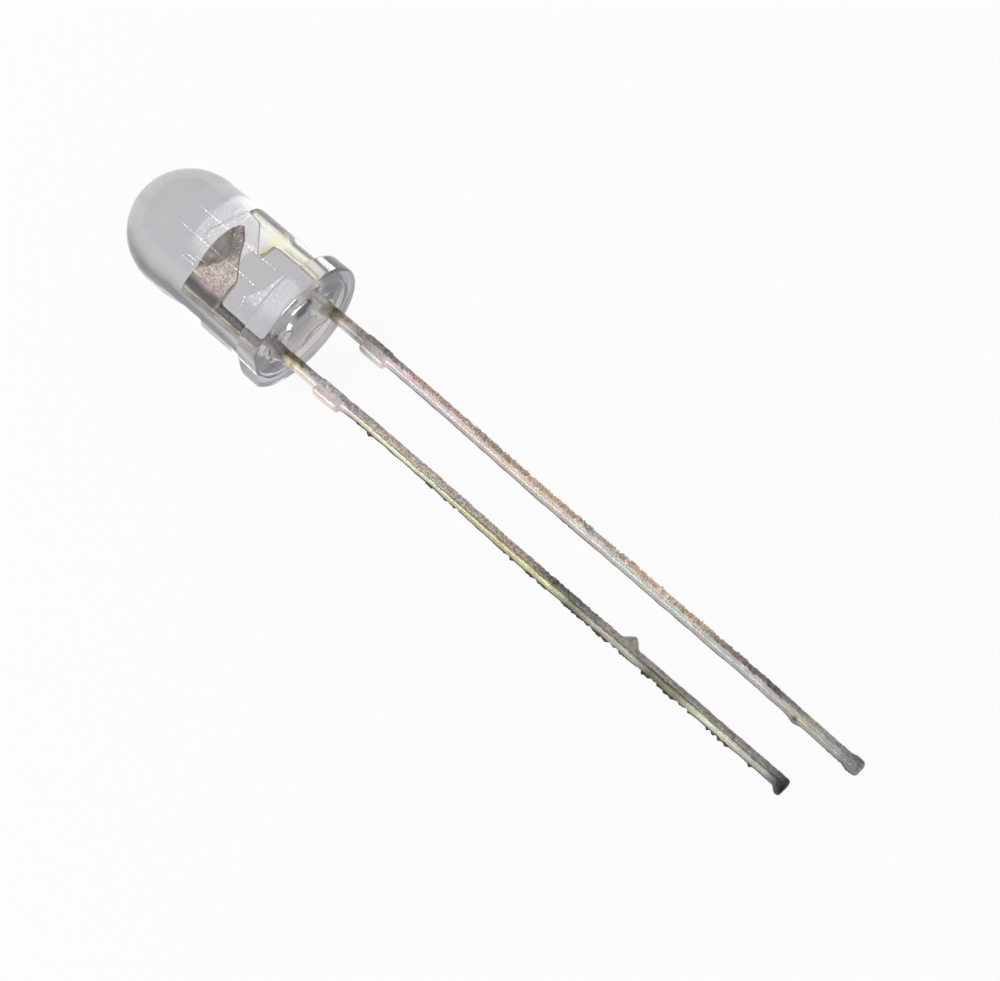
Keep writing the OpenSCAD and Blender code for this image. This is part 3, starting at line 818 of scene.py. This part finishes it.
def lamp(name, azimuth, elevation, distance, size, radiance):
    """A square lamp that faces the LED. Its place is in degrees and millimetres around it."""
    light = bpy.data.lights.new(name, "AREA")
    light.shape = "SQUARE"
    light.size = size * MM
    light.energy = radiance * math.pi * (size * MM) ** 2
    holder = bpy.data.objects.new(name, light)
    bpy.context.scene.collection.objects.link(holder)
    turn, tilt = math.radians(azimuth), math.radians(elevation)
    way = Vector((math.cos(turn) * math.cos(tilt), math.sin(turn) * math.cos(tilt), math.sin(tilt)))
    holder.matrix_world = (Matrix.Translation(way * distance * MM)
                           @ way.to_track_quat("Z", "Y").to_matrix().to_4x4())
    holder.visible_camera = False
    return holder


def lights_only(light, *pieces):
    """Lets a lamp light only these pieces."""
    group = bpy.data.collections.new(light.name + "_lights")
    for piece in pieces:
        group.objects.link(piece)
    light.light_linking.receiver_collection = group


window = lamp("soft_window", -127, 55, 260, 160, 6.8)
window.visible_glossy = False
window.visible_transmission = False


def flat_light(name, centre, across, down, strength):
    """A flat lamp spanned by two half sides. Gives the lamp, its nodes and its own UV places."""
    sheet = new_piece(name, bpy.ops.mesh.primitive_plane_add, size=2)
    sheet.data.transform(Matrix((across, down, across.cross(down).normalized())).transposed().to_4x4())
    sheet.data.transform(Matrix.Translation(centre))
    sheet.visible_camera = sheet.visible_diffuse = False
    lit = bpy.data.materials.new(name)
    sheet.data.materials.append(lit)
    surface = Surface(lit)
    uv = surface.node("UVMap", output=0)

    def shine(pattern, cover=1.0):
        light = surface.node("Emission", None, {"Color": surface.grey(pattern), "Strength": strength})
        surface.node("OutputMaterial", None, {"Surface": surface.node("MixShader", None, {
            0: cover, 1: surface.node("BsdfTransparent"), 2: light})})

    return sheet, surface, uv, shine


def aim(azimuth, elevation):
    """A direction from degrees round the LED and degrees up."""
    turn, tilt = math.radians(azimuth), math.radians(elevation)
    return Vector((math.cos(turn) * math.cos(tilt), math.sin(turn) * math.cos(tilt), math.sin(tilt)))


def led_panel(name, way, distance, half, pitch, radiance, plain):
    """A board of small round lamps, seen only by rays that the LED bends."""
    side = way.cross(Vector((0, 0, 1))).normalized()
    panel, surface, uv, shine = flat_light(
        name, way * distance * MM, side * half * MM, way.cross(side) * half * MM, radiance + plain)
    panel.visible_glossy = False
    row, line = (surface.node("Math", {"operation": "PINGPONG"}, {
        0: surface.node("SeparateXYZ", None, {"Vector": uv}, output=i) * (2 * half / pitch), 1: 0.5}) for i in range(2))
    far = (0.5 - row) * (0.5 - row) + (0.5 - line) * (0.5 - line)
    rim = surface.node("VectorMath", {"operation": "DISTANCE"}, {0: uv, 1: (0.5, 0.5, 0)}, output=1)
    dots = far.rise(0.045, 0.03) * (radiance / (radiance + plain)) + plain / (radiance + plain)
    shine(dots, rim.rise(0.52, 0.36))


led_panel("front_panel", aim(-118, 56), 260, 88, 8, 12, 5.4)
led_panel("front_spots", aim(-131, 57), 250, 60, 10, 40, 6.9)
led_panel("rear_panel", aim(130, 62), 260, 75, 8, 5, 2.9)


def light_strip(name, turn, low, high, columns, rows, radiance, spread=2.0, radius=LENS_R):
    """Rows of tiny lamps, so placed that the barrel or the flange mirrors them into the camera."""
    normal = Vector((math.sin(turn), -math.cos(turn), 0))
    ends = []
    for height in (low, high):
        point = normal * radius + Vector((0, 0, height))
        view = (point - Vector(EYE)).normalized()
        mirror = view - 2 * view.dot(normal) * normal
        ends.append(LIE_DOWN @ (point + mirror * STRIP_FAR))
    run = (ends[1] - ends[0]) / 2
    centre = (ends[0] + ends[1]) / 2
    half = STRIP_FAR * MM * math.radians(spread)
    strip, surface, uv, shine = flat_light(name, centre, centre.cross(run).normalized() * half, run, radiance)
    strip.visible_transmission = False
    across, along = (surface.node("Math", {"operation": "PINGPONG"}, {
        0: surface.node("SeparateXYZ", None, {"Vector": uv}, output=i) * count, 1: 0.5}).rise(0.32, 0.44)
        for i, count in ((0, columns), (1, rows)))
    gaps = surface.noise(surface.stretched(uv, (columns, 1, 1)), 9.0).rise(0.42, 0.56)
    shine(across * along * (gaps * 0.8 + 0.2))
    lights_only(strip, lens)


EYE = (-26.46, -86.83, -33.97)
STRIP_FAR = 200
light_strip("strip_behind", math.radians(6.9), 1.2, 6.2, 1, 26, 90)
light_strip("strip_in_front", math.radians(-15.6), 1.5, 6.2, 1, 25, 90)
light_strip("grid_on_barrel", math.radians(-35.3), 4.26, 4.92, 4, 5, 70, 15)
light_strip("grid_by_flange", math.radians(-35.9), 1.25, 1.75, 2, 5, 70, 10)
light_strip("grid_on_flange_left", math.radians(-30.4), 0.3, 0.72, 5, 4, 70, 11, FLANGE_R)
light_strip("grid_on_flange_right", math.radians(-0.9), 0.36, 0.76, 7, 3, 60, 16, FLANGE_R)
lead_box = lamp("soft_box_on_leads", -118, 57, 260, 140, 2.9)
lead_box.visible_transmission = False
lights_only(lead_box, cathode, anode)

# ---------------------------------------------------------------------------------------------
# Camera
# A short telephoto lens above the lead tips, looking at the LED lengthways and from one side.
# ---------------------------------------------------------------------------------------------
SIGHT = (-0.16, -1.17, -10.42)
SIGHT_ROLL = math.radians(3.29)

camera = bpy.data.objects.new("camera", bpy.data.cameras.new("camera"))
bpy.context.scene.collection.objects.link(camera)
camera.data.lens = 90.02
camera.data.sensor_width = 36
camera.data.clip_start = 0.001
camera.data.clip_end = 10
eye = LIE_DOWN @ Vector(EYE)
look = LIE_DOWN @ Vector(SIGHT) - eye
camera.matrix_world = (Matrix.Translation(eye) @ look.to_track_quat("-Z", "Y").to_matrix().to_4x4()
                       @ Matrix.Rotation(-SIGHT_ROLL, 4, "Z"))
bpy.context.scene.camera = camera
bpy.context.scene.view_settings.view_transform = "Standard"
